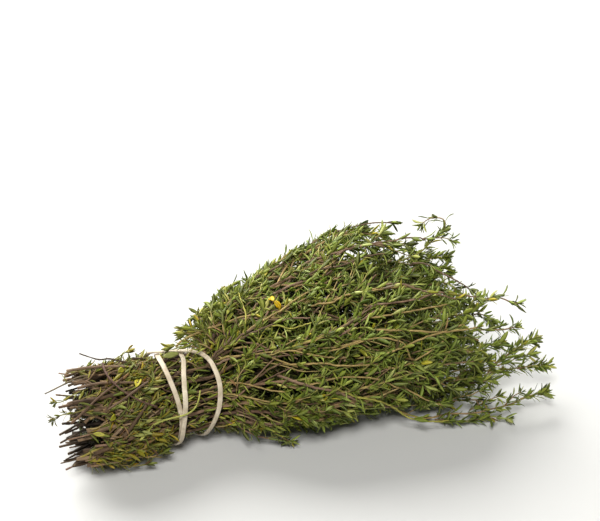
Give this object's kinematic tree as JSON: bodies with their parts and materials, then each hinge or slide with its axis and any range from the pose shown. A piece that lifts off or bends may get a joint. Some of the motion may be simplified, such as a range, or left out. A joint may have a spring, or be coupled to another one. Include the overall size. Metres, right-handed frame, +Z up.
{
  "type": "thyme bundle",
  "caption": "Bunch of cut thyme sprigs lying flat, fanned out past a cream rubber band wound round the stems, with uneven cut stem ends behind it.",
  "frame": {"origin": "middle of the underside of the bunch's box, on the surface it lies on", "axes": "+X along the bunch from the cut stem ends to the leafy tips, +Z up from the surface it lies on, so +Y is across the fan"},
  "size_m": [0.2112, 0.1036, 0.064],
  "materials": {
    "thyme_sprig": "fresh mid-green leaves with greyer undersides on thin ochre to purplish-brown stems, woody and brown towards the cut ends",
    "rubber_band": "matte cream natural rubber, slightly translucent"
  },
  "bodies": {
    "root": {"sprig_01": "thyme_sprig", "sprig_02": "thyme_sprig", "sprig_03": "thyme_sprig", "sprig_04": "thyme_sprig", "sprig_05": "thyme_sprig", "sprig_06": "thyme_sprig", "sprig_07": "thyme_sprig", "sprig_08": "thyme_sprig", "sprig_09": "thyme_sprig", "sprig_10": "thyme_sprig", "sprig_11": "thyme_sprig", "sprig_12": "thyme_sprig", "sprig_13": "thyme_sprig", "sprig_14": "thyme_sprig", "sprig_15": "thyme_sprig", "sprig_16": "thyme_sprig", "sprig_17": "thyme_sprig", "sprig_18": "thyme_sprig", "sprig_19": "thyme_sprig", "sprig_20": "thyme_sprig", "sprig_21": "thyme_sprig", "sprig_22": "thyme_sprig", "sprig_23": "thyme_sprig", "sprig_24": "thyme_sprig", "sprig_25": "thyme_sprig", "sprig_26": "thyme_sprig", "sprig_27": "thyme_sprig", "sprig_28": "thyme_sprig", "sprig_29": "thyme_sprig", "sprig_30": "thyme_sprig", "sprig_31": "thyme_sprig", "sprig_32": "thyme_sprig", "sprig_33": "thyme_sprig", "sprig_34": "thyme_sprig", "sprig_35": "thyme_sprig", "sprig_36": "thyme_sprig", "sprig_37": "thyme_sprig", "sprig_38": "thyme_sprig", "sprig_39": "thyme_sprig", "sprig_40": "thyme_sprig", "sprig_41": "thyme_sprig", "sprig_42": "thyme_sprig", "sprig_43": "thyme_sprig", "sprig_44": "thyme_sprig", "sprig_45": "thyme_sprig", "sprig_46": "thyme_sprig", "sprig_47": "thyme_sprig", "sprig_48": "thyme_sprig", "sprig_49": "thyme_sprig", "sprig_50": "thyme_sprig", "sprig_51": "thyme_sprig", "sprig_52": "thyme_sprig", "rubber_band": "rubber_band"}
  },
  "joints": []
}
